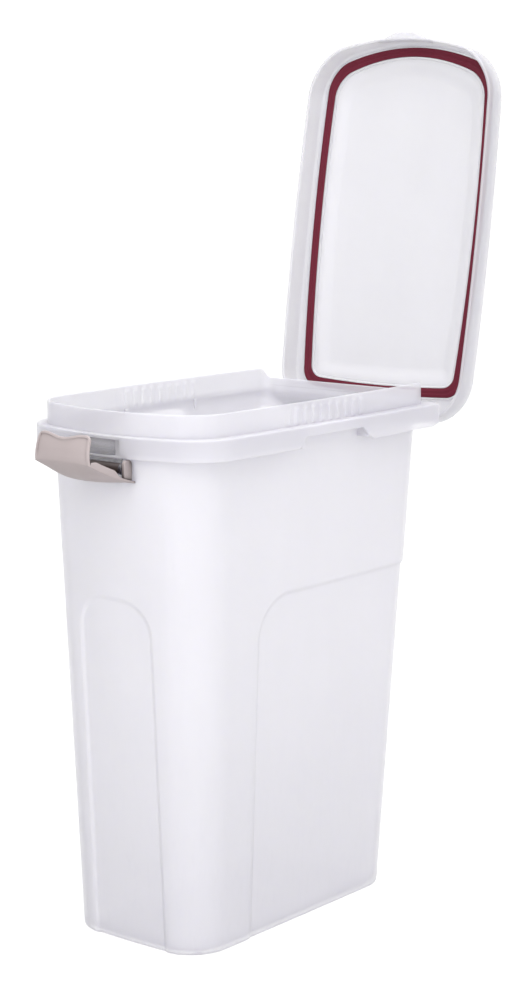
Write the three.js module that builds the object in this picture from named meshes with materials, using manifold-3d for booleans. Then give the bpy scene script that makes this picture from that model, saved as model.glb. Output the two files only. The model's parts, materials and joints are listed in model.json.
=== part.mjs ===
// Upright pet food bin: a tapered tub with a pouring neck and a down-turned skirt, a lid on two
// rear hinges with a sealing ring under it, and a front latch on two pivot pins.
// Millimetres, +Z up, +X to the right, front towards -Y. The origin is the middle of the base.
// The lid is built closed and then swung open about its hinges. The latch is built hanging open.
import * as THREE from 'three';
import { mergeVertices } from 'three/addons/utils/BufferGeometryUtils.js';
import Module from 'manifold-3d';

const wasm = await Module();
wasm.setup();

// ---------------------------------------------------------------- driving dimensions

const wall = 2.6;
const gap = 0.3;
const past = 1; // how far a cutting tool runs past the face it cuts

// Heights above the base
const floorThickness = 3;
const tubTop = 548;
const ledgeTop = 575;
const rimTop = 600;
const rearRimDrop = 11;
const skirtBottom = 551;
const gripSkirtBottom = 563;

// Plan outlines. front and rear are the corner lines; a bow is how far an edge swells past them.
const basePlan = {
  halfWidth: 97.5, front: -184, rear: 171.5, sideBow: 1, frontBow: 5, frontRound: 44, rearRound: 40,
};
const tubPlan = {
  halfWidth: 118, front: -196, rear: 204, sideBow: 6, frontBow: 28, frontRound: 43, rearRound: 30,
};
const neckPlan = {
  halfWidth: 125.5, front: -198, rear: 198, sideBow: 6.5, frontBow: 29, frontRound: 34, rearRound: 13,
};
const skirtPlan = {
  halfWidth: 137, front: -203, rear: 212, sideBow: 5, frontBow: 29, frontRound: 36, rearRound: 6,
};
const lidPlan = { ...skirtPlan, front: -207, rear: 226, frontBow: 24.5, frontRound: 46, rearRound: 54 };
const sealPlan = {
  ...neckPlan, halfWidth: 123.5, front: -195, rear: 193, frontBow: 27, frontRound: 27,
  rearBow: 4, rearRound: 19,
};

// Shallow panels pressed into the lower walls
const panelDepth = 2;
const frontPanel = { halfWidth: 50, top: 394, round: 42 };
const sidePanel = { front: -95, top: 388, round: 52 };

// Hand grips in the long sides of the skirt, and upright ribs on the neck above them
const grip = { front: -49, rear: 65 };
const ribs = { count: 10, pitch: 14.5, width: 6, depth: 1 };

// Lid
const lidTop = 606;
const lidEdge = ledgeTop + 0.6;
const panelRise = 6;
const panelInset = 26;
const sealWidth = 10;
const sealThickness = 2.7;
const lidTongue = { halfWidth: 31, reach: 8.5, bottom: 578, top: 589 };

// Hinges between lid and tub
const hinge = { y: 220, z: 554, openAngle: 98.84, middle: 65, pinRadius: 3 };
const knuckle = { halfLength: 14.5, radius: 6.4 };
const lug = { inner: 15, outer: 22, radius: 7 };

// Latch, measured from its pivot with the latch hanging open
const pivot = { y: -230, z: 541, pinRadius: 2.4 };
const latchWall = 2.5;
const latchTail = { y: 5.5, z: -15, halfWidth: 44 };
const latchNose = { y: -56, z: 12, halfWidth: 38 };
const latchTop = { y: -50, z: 38.5, halfWidth: 34, dip: 6 };
const latchHook = { reach: 11, halfWidth: 24 };
const latchEar = { inner: 37.5, outer: 41.3, radius: 8 };
const latchBar = { halfLength: 32.3, radius: 5.5, webHalf: 14, webThickness: 3 };
const latchLug = { inner: 32.8, outer: 37.2, radius: 6.5 };
const latchWindow = { halfWidth: 30, bottom: skirtBottom + 2.2, top: 571 };

// ---------------------------------------------------------------- materials

function plastic(color, roughness, opacity = 1) {
  return new THREE.MeshStandardMaterial({
    color, roughness, metalness: 0, opacity, transparent: opacity < 1, side: THREE.DoubleSide,
  });
}
const milkyPlastic = plastic(0xe9e9f1, 0.4, 0.75);
const taupePlastic = plastic(0xc2b6b1, 0.45);
const sealRubber = plastic(0x6d1d33, 0.6);
const pinPlastic = plastic(0xdcdce4, 0.35);

// ---------------------------------------------------------------- solids and booleans

function toSolid(geometry) {
  const bare = geometry.clone();
  bare.deleteAttribute('normal');
  bare.deleteAttribute('uv');
  const merged = mergeVertices(bare, 1e-4);
  const mesh = new wasm.Mesh({
    numProp: 3,
    vertProperties: new Float32Array(merged.attributes.position.array),
    triVerts: new Uint32Array(merged.index.array),
  });
  return new wasm.Manifold(mesh);
}

function toMesh(name, solid, material) {
  const { vertProperties, triVerts } = solid.getMesh();
  const geometry = new THREE.BufferGeometry();
  geometry.setAttribute('position', new THREE.BufferAttribute(vertProperties, 3));
  geometry.setIndex(new THREE.BufferAttribute(triVerts, 1));
  geometry.computeVertexNormals();
  const mesh = new THREE.Mesh(geometry, material);
  mesh.name = name;
  return mesh;
}

function boxSolid([x0, x1], [y0, y1], [z0, z1]) {
  const box = new THREE.BoxGeometry(x1 - x0, y1 - y0, z1 - z0);
  box.translate((x0 + x1) / 2, (y0 + y1) / 2, (z0 + z1) / 2);
  return toSolid(box);
}

// A round bar along X
function barSolid(x0, x1, y, z, radius, segments = 24) {
  const bar = new THREE.CylinderGeometry(radius, radius, x1 - x0, segments);
  bar.rotateZ(Math.PI / 2);
  bar.translate((x0 + x1) / 2, y, z);
  return toSolid(bar);
}

// A flat outline in Y and Z, drawn as a THREE.Shape of (y, z), made solid from x0 to x1
function sidewaysSolid(shape, x0, x1, curveSegments = 6) {
  const slab = new THREE.ExtrudeGeometry(shape, { depth: x1 - x0, bevelEnabled: false, curveSegments });
  slab.applyMatrix4(new THREE.Matrix4().set(0, 0, 1, x0, 1, 0, 0, 0, 0, 1, 0, 0, 0, 0, 0, 1));
  return toSolid(slab);
}

// A flat outline in X and Z, drawn as a THREE.Shape of (x, z), made solid from y0 to y1
function upwardsSolid(shape, y0, y1, curveSegments = 8) {
  const slab = new THREE.ExtrudeGeometry(shape, { depth: y1 - y0, bevelEnabled: false, curveSegments });
  slab.applyMatrix4(new THREE.Matrix4().set(1, 0, 0, 0, 0, 0, -1, y1, 0, 1, 0, 0, 0, 0, 0, 1));
  return toSolid(slab);
}

function union(solids) {
  return solids.reduce((sum, next) => sum.add(next));
}

// The same solid on both sides of the middle plane
function bothSides(build) {
  return build(1).add(build(-1));
}

// ---------------------------------------------------------------- plan outlines and lofts

// A point of a rounded corner between a and b, whose edges meet at corner
function cornerPoint(a, corner, b, t) {
  const reach = 0.5523;
  const curve = new THREE.CubicBezierCurve(
    a, a.clone().lerp(corner, reach), b.clone().lerp(corner, reach), b,
  );
  return curve.getPoint(t);
}

// Anticlockwise points of a rectangle with swelling sides and front and rounded corners
function outline(plan, inset = 0) {
  const halfWidth = plan.halfWidth - inset;
  const front = plan.front + inset;
  const rear = plan.rear - inset;
  const { rearBow = 0 } = plan;
  const cornerX = halfWidth - plan.sideBow;
  const frontRound = Math.max(plan.frontRound - inset / 2, 2);
  const rearRound = Math.max(plan.rearRound - inset / 2, 2);
  const frontEdge = (s) => new THREE.Vector2(cornerX * s, front - plan.frontBow * (1 - s * s));
  const side = (t) => new THREE.Vector2(
    halfWidth - plan.sideBow * (2 * t - 1) ** 2, THREE.MathUtils.lerp(front, rear, t),
  );
  const rearEdge = (s) => new THREE.Vector2(cornerX * s, rear + rearBow * (1 - s * s));
  const frontEnd = 1 - frontRound / cornerX;
  const rearEnd = 1 - rearRound / cornerX;
  const sideStart = frontRound / (rear - front);
  const sideEnd = 1 - rearRound / (rear - front);
  const steps = (count) => Array.from({ length: count }, (_, i) => i / count);

  const half = [
    ...steps(4).map((u) => frontEdge(u * frontEnd)),
    ...steps(5).map((u) => cornerPoint(frontEdge(frontEnd), frontEdge(1), side(sideStart), u)),
    ...steps(5).map((u) => side(THREE.MathUtils.lerp(sideStart, sideEnd, u))),
    ...steps(4).map((u) => cornerPoint(side(sideEnd), rearEdge(1), rearEdge(rearEnd), u)),
    rearEdge(rearEnd),
    rearEdge(rearEnd / 2),
    rearEdge(0),
  ];
  const mirrored = half.slice(1, -1).reverse().map((p) => new THREE.Vector2(-p.x, p.y));
  return [...half, ...mirrored];
}

// A closed body through a stack of outlines: levels is a list of [z, points], lowest first
function loft(levels) {
  const count = levels[0][1].length;
  const positions = levels.flatMap(([z, points]) => points.flatMap((p) => [p.x, p.y, z]));
  const faces = [];
  for (let level = 0; level + 1 < levels.length; level += 1) {
    for (let i = 0; i < count; i += 1) {
      const a = level * count + i;
      const b = level * count + ((i + 1) % count);
      faces.push(a, b, b + count, a, b + count, a + count);
    }
  }
  const topStart = (levels.length - 1) * count;
  const bottomCap = THREE.ShapeUtils.triangulateShape(levels[0][1], []);
  const topCap = THREE.ShapeUtils.triangulateShape(levels.at(-1)[1], []);
  bottomCap.forEach(([a, b, c]) => faces.push(a, c, b));
  topCap.forEach(([a, b, c]) => faces.push(topStart + a, topStart + b, topStart + c));
  const geometry = new THREE.BufferGeometry();
  geometry.setAttribute('position', new THREE.Float32BufferAttribute(positions, 3));
  geometry.setIndex(faces);
  return toSolid(geometry);
}

function prism(plan, inset, z0, z1) {
  const points = outline(plan, inset);
  return loft([[z0, points], [z1, points]]);
}

function ringPrism(plan, outerInset, innerInset, z0, z1) {
  return prism(plan, outerInset, z0, z1).subtract(prism(plan, innerInset, z0 - past, z1 + past));
}

// ---------------------------------------------------------------- tub

// The tapered tub up to the rim, every wall moved inwards by inset
function tubLoft(inset, bottom, top) {
  return loft([
    [bottom, outline(basePlan, inset)],
    [tubTop, outline(tubPlan, inset)],
    [ledgeTop - wall - 2, outline(neckPlan, inset)],
    [top, outline(neckPlan, inset)],
  ]);
}

// The regions of the lower walls that are pressed in, as solids running through the walls
function panelRegions() {
  const { halfWidth, top, round } = frontPanel;
  const arch = new THREE.Shape();
  arch.moveTo(-halfWidth, -past);
  arch.lineTo(halfWidth, -past);
  arch.lineTo(halfWidth, top - round);
  arch.quadraticCurveTo(halfWidth, top, halfWidth - round, top);
  arch.lineTo(round - halfWidth, top);
  arch.quadraticCurveTo(-halfWidth, top, -halfWidth, top - round);

  const sheet = new THREE.Shape();
  const rear = skirtPlan.rear + past;
  sheet.moveTo(sidePanel.front, -past);
  sheet.lineTo(rear, -past);
  sheet.lineTo(rear, sidePanel.top);
  sheet.lineTo(sidePanel.front + sidePanel.round, sidePanel.top);
  sheet.quadraticCurveTo(sidePanel.front, sidePanel.top, sidePanel.front, sidePanel.top - sidePanel.round);

  const reach = skirtPlan.halfWidth;
  return upwardsSolid(arch, -reach * 2, -reach).add(sidewaysSolid(sheet, -reach, reach));
}

// The tub's outer or inner surface as a solid, with the panels pressed in
function pressedTub(inset, bottom, top, regions) {
  const plain = tubLoft(inset, bottom, top);
  const shrunk = tubLoft(inset + panelDepth, bottom - past, top + past);
  return plain.subtract(regions.subtract(shrunk));
}

function neckRibs() {
  const first = -ribs.pitch * (ribs.count - 1) / 2;
  const bars = Array.from({ length: ribs.count }, (_, i) => {
    const y = first + i * ribs.pitch;
    return boxSolid(
      [-neckPlan.halfWidth - ribs.depth, neckPlan.halfWidth + ribs.depth],
      [y - ribs.width / 2, y + ribs.width / 2],
      [ledgeTop - wall / 2, rimTop - 4],
    );
  });
  return union(bars);
}

function skirt() {
  const reach = skirtPlan.halfWidth + past;
  const band = ringPrism(skirtPlan, 0, wall, skirtBottom, ledgeTop);
  const ledge = prism(skirtPlan, 0, ledgeTop - wall, ledgeTop);
  const gripCut = boxSolid([-reach, reach], [grip.front, grip.rear], [skirtBottom - past, gripSkirtBottom]);
  const window = boxSolid(
    [-latchWindow.halfWidth, latchWindow.halfWidth],
    [-skirtPlan.halfWidth * 2, neckPlan.front],
    [latchWindow.bottom, latchWindow.top],
  );
  return band.subtract(gripCut).subtract(window).add(ledge);
}

// The rear wall of the neck is lower than its sides, with sloping ends
function rearRimNotch() {
  const half = neckPlan.halfWidth - neckPlan.sideBow;
  const notch = new THREE.Shape();
  notch.moveTo(rearRimDrop - half, rimTop - rearRimDrop);
  notch.lineTo(half - rearRimDrop, rimTop - rearRimDrop);
  notch.lineTo(half + past, rimTop + past);
  notch.lineTo(-half - past, rimTop + past);
  return upwardsSolid(notch, neckPlan.rear - neckPlan.rearRound, neckPlan.rear + past);
}

// A rounded ear about (y, z) that runs back to the plane rootY between two heights
function earShape(y, z, radius, rootY, rootLow, rootHigh) {
  const shape = new THREE.Shape();
  const towards = Math.sign(rootY - y);
  shape.moveTo(rootY, rootLow);
  shape.lineTo(y, z - radius);
  shape.absarc(y, z, radius, -Math.PI / 2, Math.PI / 2, towards > 0);
  shape.lineTo(rootY, rootHigh);
  return shape;
}

function hingeLugs() {
  const rootY = skirtPlan.rear - wall;
  const shape = earShape(hinge.y, hinge.z, lug.radius, rootY, skirtBottom, ledgeTop - 5);
  const lugPair = (side) => {
    const middle = side * hinge.middle;
    const inner = sidewaysSolid(shape, middle - lug.outer, middle - lug.inner);
    return inner.add(sidewaysSolid(shape, middle + lug.inner, middle + lug.outer));
  };
  return bothSides(lugPair);
}

function latchLugs() {
  const rootY = tubPlan.front - tubPlan.frontBow * 0.7;
  const shape = earShape(pivot.y, pivot.z, latchLug.radius, rootY, pivot.z - 16, ledgeTop - wall);
  return bothSides((side) => {
    const [x0, x1] = [side * latchLug.inner, side * latchLug.outer].sort((a, b) => a - b);
    return sidewaysSolid(shape, x0, x1);
  });
}

function buildTub() {
  const regions = panelRegions();
  const outside = pressedTub(0, 0, rimTop, regions);
  const inside = pressedTub(wall, floorThickness, rimTop + past, regions);
  const reach = hinge.middle + lug.outer + past;
  const hingeBore = barSolid(-reach, reach, hinge.y, hinge.z, hinge.pinRadius + gap);
  const latchBore = bothSides((side) => {
    const [x0, x1] = [side * (latchLug.inner + 0.9), side * (latchLug.outer + past)].sort((a, b) => a - b);
    return barSolid(x0, x1, pivot.y, pivot.z, pivot.pinRadius + gap);
  });
  return union([outside, neckRibs(), skirt(), hingeLugs(), latchLugs()])
    .subtract(inside)
    .subtract(rearRimNotch())
    .subtract(hingeBore)
    .subtract(latchBore);
}

// ---------------------------------------------------------------- lid, closed

function lidShell() {
  const edgeRound = 5;
  const outside = loft([
    [lidEdge, outline(lidPlan)],
    [lidTop - edgeRound, outline(lidPlan)],
    [lidTop - edgeRound * 0.3, outline(lidPlan, edgeRound * 0.3)],
    [lidTop, outline(lidPlan, edgeRound)],
  ]);
  const roofUnder = lidTop - wall;
  const inside = loft([
    [lidEdge - past, outline(lidPlan, wall)],
    [roofUnder - edgeRound, outline(lidPlan, wall)],
    [roofUnder, outline(lidPlan, wall + edgeRound)],
  ]);
  const raisedPanel = loft([
    [lidTop - wall, outline(sealPlan, panelInset - panelRise)],
    [lidTop + panelRise, outline(sealPlan, panelInset)],
  ]);
  const panelHollow = loft([
    [roofUnder - past, outline(sealPlan, panelInset + wall - panelRise)],
    [roofUnder + panelRise, outline(sealPlan, panelInset + wall)],
  ]);
  return outside.subtract(inside).add(raisedPanel).subtract(panelHollow);
}

// Tongue on the lid's front edge that the latch closes over
function lidTongueSolid() {
  const frontMost = lidPlan.front - lidPlan.frontBow;
  const tongue = new THREE.Shape();
  tongue.moveTo(frontMost + wall + 1.5, lidTongue.bottom);
  tongue.lineTo(frontMost - lidTongue.reach, lidTongue.top - 5);
  tongue.lineTo(frontMost - lidTongue.reach, lidTongue.top);
  tongue.lineTo(frontMost + wall + 1.5, lidTongue.top);
  return sidewaysSolid(tongue, -lidTongue.halfWidth, lidTongue.halfWidth)
    .subtract(prism(lidPlan, wall, lidEdge - past, lidTop - wall));
}

// Barrels below the lid's rear edge, each on an arm
function lidKnuckles() {
  const armY = lidPlan.rear - wall - 2;
  return bothSides((side) => {
    const middle = side * hinge.middle;
    const span = [middle - knuckle.halfLength, middle + knuckle.halfLength];
    const arm = boxSolid(span, [armY - 3, lidPlan.rear - 0.2], [hinge.z, lidEdge + 6]);
    return arm.add(barSolid(...span, hinge.y, hinge.z, knuckle.radius));
  });
}

function buildLid() {
  const reach = hinge.middle + lug.outer;
  return lidShell()
    .add(lidTongueSolid())
    .add(lidKnuckles())
    .subtract(barSolid(-reach, reach, hinge.y, hinge.z, hinge.pinRadius + gap));
}

function buildSeal() {
  const top = lidTop - wall - gap;
  return ringPrism(sealPlan, 0, sealWidth, top - sealThickness, top);
}

// ---------------------------------------------------------------- latch, about its pivot

// Section of the latch: a curved base that rises to a nose, with a plate standing on it
function latchSection() {
  const { y: tailY, z: tailZ } = latchTail;
  const { y: noseY, z: noseZ } = latchNose;
  const { y: topY, z: topZ } = latchTop;
  const section = new THREE.Shape();
  section.moveTo(tailY, tailZ);
  section.quadraticCurveTo(noseY + 20, tailZ, noseY, noseZ);
  section.quadraticCurveTo(noseY - 4, noseZ + 10, topY, topZ);
  section.lineTo(topY + latchWall, topZ);
  section.quadraticCurveTo(noseY - 4 + latchWall, noseZ + 10, noseY + latchWall, noseZ + 1);
  section.quadraticCurveTo(noseY + 22, tailZ + latchWall, tailY, tailZ + latchWall);
  return section;
}

// The hook behind the plate that holds the lid's tongue when the latch is shut. Its root is
// sunk into the plate, which leans back here.
function latchHookSolid() {
  const { y, z } = latchTop;
  const hook = new THREE.Shape();
  hook.moveTo(y - 2, z - 7);
  hook.lineTo(y + latchHook.reach, z - 3);
  hook.lineTo(y + latchHook.reach, z - 0.5);
  hook.lineTo(y - 0.5, z - 3.5);
  return sidewaysSolid(hook, -latchHook.halfWidth, latchHook.halfWidth);
}

// The latch narrows from its ears to its nose, and its top edge dips in the middle
function latchFront() {
  const { halfWidth: wide, z: tailZ } = latchTail;
  const { halfWidth: nose, z: noseZ } = latchNose;
  const { halfWidth: narrow, z: edge, dip } = latchTop;
  const topZ = edge - 0.5;
  const corner = 8;
  const front = new THREE.Shape();
  front.moveTo(-wide, tailZ - past);
  front.lineTo(wide, tailZ - past);
  front.lineTo(wide, tailZ + 5);
  front.lineTo(nose, noseZ);
  front.lineTo(narrow, topZ - corner);
  front.quadraticCurveTo(narrow - 1, topZ, narrow - corner, topZ);
  front.bezierCurveTo(narrow * 0.4, topZ - dip, -narrow * 0.4, topZ - dip, corner - narrow, topZ);
  front.quadraticCurveTo(1 - narrow, topZ, -narrow, topZ - corner);
  front.lineTo(-nose, noseZ);
  front.lineTo(-wide, tailZ + 5);
  return front;
}

function latchEars() {
  const reach = latchTail.halfWidth + past;
  const bore = barSolid(-reach, reach, 0, 0, pivot.pinRadius + gap);
  const ears = bothSides((side) => {
    const [x0, x1] = [side * latchEar.inner, side * latchEar.outer].sort((a, b) => a - b);
    const disc = barSolid(x0, x1, 0, 0, latchEar.radius);
    const web = boxSolid([x0, x1], [-latchEar.radius, 2], [latchTail.z + 1, 0]);
    return disc.add(web);
  });
  return ears.subtract(bore);
}

// The round bar between the lugs, on a web that stands on the latch's tail
function latchHingeBar() {
  const { halfLength, radius, webHalf, webThickness } = latchBar;
  const web = boxSolid([-webHalf, webHalf], [-webThickness, 0], [latchTail.z + latchWall / 2, 0]);
  return barSolid(-halfLength, halfLength, 0, 0, radius).add(web);
}

function buildLatch() {
  const reach = latchTail.halfWidth + past;
  const body = sidewaysSolid(latchSection(), -reach, reach, 10);
  return body
    .intersect(upwardsSolid(latchFront(), -70, 20, 10))
    .add(latchHookSolid())
    .add(latchHingeBar())
    .add(latchEars());
}

// ---------------------------------------------------------------- pins

function hingePin(side) {
  const middle = side * hinge.middle;
  return barSolid(middle - lug.outer, middle + lug.outer, hinge.y, hinge.z, hinge.pinRadius);
}

function latchPin(side) {
  const [x0, x1] = [side * (latchLug.inner + 1.2), side * latchEar.outer].sort((a, b) => a - b);
  return barSolid(x0, x1, pivot.y, pivot.z, pivot.pinRadius);
}

// ---------------------------------------------------------------- assembly

// A group about an axis along X, turned by so many degrees from where its meshes are drawn
function pivoted(y, z, degrees, meshes) {
  const group = new THREE.Group();
  group.position.set(0, y, z);
  group.rotation.x = THREE.MathUtils.degToRad(degrees);
  group.add(...meshes);
  return group;
}

function aboutHinge(solid) {
  return solid.translate([0, -hinge.y, -hinge.z]);
}

const bin = new THREE.Group();
bin.add(toMesh('bin_tub', buildTub(), milkyPlastic));
bin.add(pivoted(hinge.y, hinge.z, -hinge.openAngle, [
  toMesh('lid', aboutHinge(buildLid()), milkyPlastic),
  toMesh('lid_seal', aboutHinge(buildSeal()), sealRubber),
]));
bin.add(pivoted(pivot.y, pivot.z, 0, [toMesh('latch', buildLatch(), taupePlastic)]));
[['left', -1], ['right', 1]].forEach(([word, side]) => {
  bin.add(toMesh(`hinge_pin_${word}`, hingePin(side), pinPlastic));
  bin.add(toMesh(`latch_pin_${word}`, latchPin(side), pinPlastic));
});

export default bin;
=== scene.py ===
import json
import math

import bmesh
import bpy
import numpy as np
from mathutils import Matrix, Vector


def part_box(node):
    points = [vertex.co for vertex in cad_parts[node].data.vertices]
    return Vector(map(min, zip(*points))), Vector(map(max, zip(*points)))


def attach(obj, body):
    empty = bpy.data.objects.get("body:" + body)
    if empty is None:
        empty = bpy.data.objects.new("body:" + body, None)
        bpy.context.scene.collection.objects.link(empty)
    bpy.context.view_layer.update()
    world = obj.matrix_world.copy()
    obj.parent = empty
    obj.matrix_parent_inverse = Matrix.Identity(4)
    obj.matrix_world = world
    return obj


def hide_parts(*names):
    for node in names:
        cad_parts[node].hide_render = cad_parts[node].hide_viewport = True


# An upright pet food bin with its lid and latch open. Lengths are in millimetres until a mesh
# is made, which turns them into metres. Front is -Y, +X is right, +Z is up.

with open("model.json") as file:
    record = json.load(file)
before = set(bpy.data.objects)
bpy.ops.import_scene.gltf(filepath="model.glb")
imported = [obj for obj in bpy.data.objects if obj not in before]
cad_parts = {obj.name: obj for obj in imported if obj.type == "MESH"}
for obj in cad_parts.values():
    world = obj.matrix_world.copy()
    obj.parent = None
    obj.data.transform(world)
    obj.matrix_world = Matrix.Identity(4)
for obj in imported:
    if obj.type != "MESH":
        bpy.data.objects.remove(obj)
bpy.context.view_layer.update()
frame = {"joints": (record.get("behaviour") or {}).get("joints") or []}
MM = 0.001

JOINTS = {joint["name"]: joint for joint in frame["joints"]}
HINGE = Vector(JOINTS["lid_hinge"]["pos_m"]) / MM
PIVOT = Vector(JOINTS["latch_pivot"]["pos_m"]) / MM
OPEN_ANGLE = math.radians(JOINTS["lid_hinge"]["range_deg"][1])

WALL = 2.6
RIM_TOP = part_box("bin_tub")[1].z / MM
LEDGE_TOP = RIM_TOP - 25
SKIRT_BOTTOM = LEDGE_TOP - 24
GRIP_BOTTOM = LEDGE_TOP - 12
WINDOW_TOP = LEDGE_TOP - 4
TUB_TOP = 548
NECK_START = LEDGE_TOP - WALL - 2
FLOOR = 3
REAR_DROP = 11
REAR_SKIRT_DROP = 2.5
GRIP_FRONT, GRIP_REAR = -50, 66
WINDOW_HALF = 30
WINDOW_LOW = SKIRT_BOTTOM + 2.2

# Pins, and the clearance round each in its bore
HINGE_PIN, LATCH_PIN, CLEARANCE = 3, 2.4, 0.3

# Plan outlines: corner lines in front and behind, and how far each edge swells past them.
# A taper makes the front wider and the rear narrower by as much.
BASE = dict(half=97.5, front=-184, rear=171.5, side_bow=1, front_bow=5, front_round=44, rear_round=40)
TUB = dict(half=118, front=-196, rear=204, side_bow=6, front_bow=28, front_round=43, rear_round=30)
NECK = dict(half=125.5, front=-198, rear=198, side_bow=6.5, front_bow=29, front_round=34, rear_round=13)
SKIRT = dict(half=137, front=-203, rear=212, side_bow=5, front_bow=29, front_round=36, rear_round=6)
LID = dict(SKIRT, front=-207, rear=226, front_bow=24.5, front_round=46, rear_round=54)
SEAL = dict(NECK, half=125.2, taper=1.7, front=-197, front_bow=27, front_round=27, rear=193, rear_bow=4,
            rear_round=19)

LID_TOP = 606
LID_EDGE = LEDGE_TOP + 0.6
SEAL_WIDTH = 11
SEAL_LOW = LID_TOP - WALL - 3


# ------------------------------------------------------------------ plan outlines

def smooth(t):
    t = np.clip(t, 0, 1)
    return t * t * (3 - 2 * t)


def mixed(plan_a, plan_b, t):
    keys = set(plan_a) | set(plan_b)
    return {k: plan_a.get(k, 0) * (1 - t) + plan_b.get(k, 0) * t for k in keys}


def bezier(a, b, c, d, t):
    t = t[:, None]
    s = 1 - t
    return a * s**3 + 3 * b * s * s * t + 3 * c * s * t * t + d * t**3


def half_outline(plan, inset, stations):
    """Points of the right half, front middle to rear middle. A station runs 0-1 along the front
    edge, 1-2 round the front corner, 2-3 along the side, 3-4 round the rear corner, 4-5 behind."""
    half = plan["half"] - inset
    front = plan["front"] + inset
    rear = plan["rear"] - inset
    corner_x = half - plan["side_bow"]
    taper = plan.get("taper", 0)
    front_x, rear_x = corner_x + taper, corner_x - taper
    depth = rear - front
    front_round = max(plan["front_round"] - inset / 2, 2)
    rear_round = max(plan["rear_round"] - inset / 2, 2)
    rear_bow = plan.get("rear_bow", 0)
    front_end = 1 - front_round / front_x
    rear_end = 1 - rear_round / rear_x
    side_start = front_round / depth
    side_end = 1 - rear_round / depth

    def front_edge(s):
        return np.stack([front_x * s, front - plan["front_bow"] * (1 - s * s)], -1)

    def side(t):
        swell = plan["side_bow"] * (2 * t - 1) ** 2
        return np.stack([half - swell + taper * (1 - 2 * t), front + depth * t], -1)

    def rear_edge(s):
        return np.stack([rear_x * s, rear + rear_bow * (1 - s * s)], -1)

    def corner(a, a_way, b, b_way, t):
        """A round corner from a to b, leaving along a_way and arriving along b_way."""
        reach = np.linalg.solve(np.stack([a_way, b_way], -1), b - a)
        meet = a + reach[0] * a_way
        return bezier(a, a + (meet - a) * 0.5523, b + (meet - b) * 0.5523, b, t)

    front_way = np.array([front_x, 2 * plan["front_bow"] * front_end])
    side_way = np.array([-4 * plan["side_bow"] * (2 * side_start - 1) - 2 * taper, depth])
    side_out = np.array([-4 * plan["side_bow"] * (2 * side_end - 1) - 2 * taper, depth])
    rear_way = np.array([-rear_x, 2 * rear_bow * rear_end])
    kind = np.minimum(stations.astype(int), 4)
    u = stations - kind
    points = np.zeros((len(stations), 2))
    points[kind == 0] = front_edge(u[kind == 0] * front_end)
    points[kind == 1] = corner(front_edge(front_end), front_way, side(side_start), side_way, u[kind == 1])
    points[kind == 2] = side(side_start + (side_end - side_start) * u[kind == 2])
    points[kind == 3] = corner(side(side_end), side_out, rear_edge(rear_end), rear_way, u[kind == 3])
    points[kind == 4] = rear_edge(rear_end * (1 - u[kind == 4]))
    return points


def outline(plan, inset, stations):
    """The whole outline, anticlockwise seen from above, as rows of x and y."""
    right = half_outline(plan, inset, stations)
    left = right[1:-1][::-1] * (-1, 1)
    return np.vstack([right, left])


def outward(points):
    """Unit vectors pointing out of an anticlockwise outline."""
    way = np.roll(points, -1, 0) - np.roll(points, 1, 0)
    way /= np.linalg.norm(way, axis=1, keepdims=True)
    return np.stack([way[:, 1], -way[:, 0]], -1)


def spaced(*stretches):
    """Stations from (start, end, count) stretches that follow on, with the last end included."""
    parts = [np.linspace(a, b, n, endpoint=False) for a, b, n in stretches]
    return np.concatenate(parts + [np.array([stretches[-1][1]], float)])


# ------------------------------------------------------------------ meshes

def mesh_object(name, vertices, faces, material=None):
    mesh = bpy.data.meshes.new(name)
    mesh.from_pydata((np.asarray(vertices) * MM).tolist(), [], faces)
    obj = bpy.data.objects.new(name, mesh)
    bpy.context.scene.collection.objects.link(obj)
    if material:
        mesh.materials.append(material)
    return obj


def finish_shading(obj):
    obj.data.shade_smooth()
    obj.data.set_sharp_from_angle(angle=math.radians(35))


def grid_faces(rows, columns, wrap_rows=False):
    """Quads between rows of columns points each. The columns close on themselves."""
    faces = []
    for r in range(rows if wrap_rows else rows - 1):
        start, after = r * columns, ((r + 1) % rows) * columns
        for c in range(columns):
            d = (c + 1) % columns
            faces.append((start + c, start + d, after + d, after + c))
    return faces


def shell_object(name, rings, material, folded=False):
    """A closed body through a list of rings of points. The first and last are filled flat, or,
    if the rings are folded flat like a strap, by quads from side to side."""
    columns = len(rings[0])
    faces = grid_faces(len(rings), columns)
    last = (len(rings) - 1) * columns
    if folded:
        for c in range(columns // 2 - 1):
            a, b, c_back, d_back = c, c + 1, columns - 2 - c, columns - 1 - c
            faces.append((d_back, c_back, b, a))
            faces.append((last + a, last + b, last + c_back, last + d_back))
    else:
        faces.append(tuple(range(columns - 1, -1, -1)))
        faces.append(tuple(range(last, last + columns)))
    return mesh_object(name, np.vstack(rings), faces, material)


def hoop_object(name, rings, material):
    """A closed hoop: the last ring joins the first."""
    columns = len(rings[0])
    faces = grid_faces(len(rings), columns, wrap_rows=True)
    return mesh_object(name, np.vstack(rings), faces, material)


def ring(points, z):
    heights = np.full(len(points), z) if np.isscalar(z) else z
    return np.column_stack([points, heights])


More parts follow.
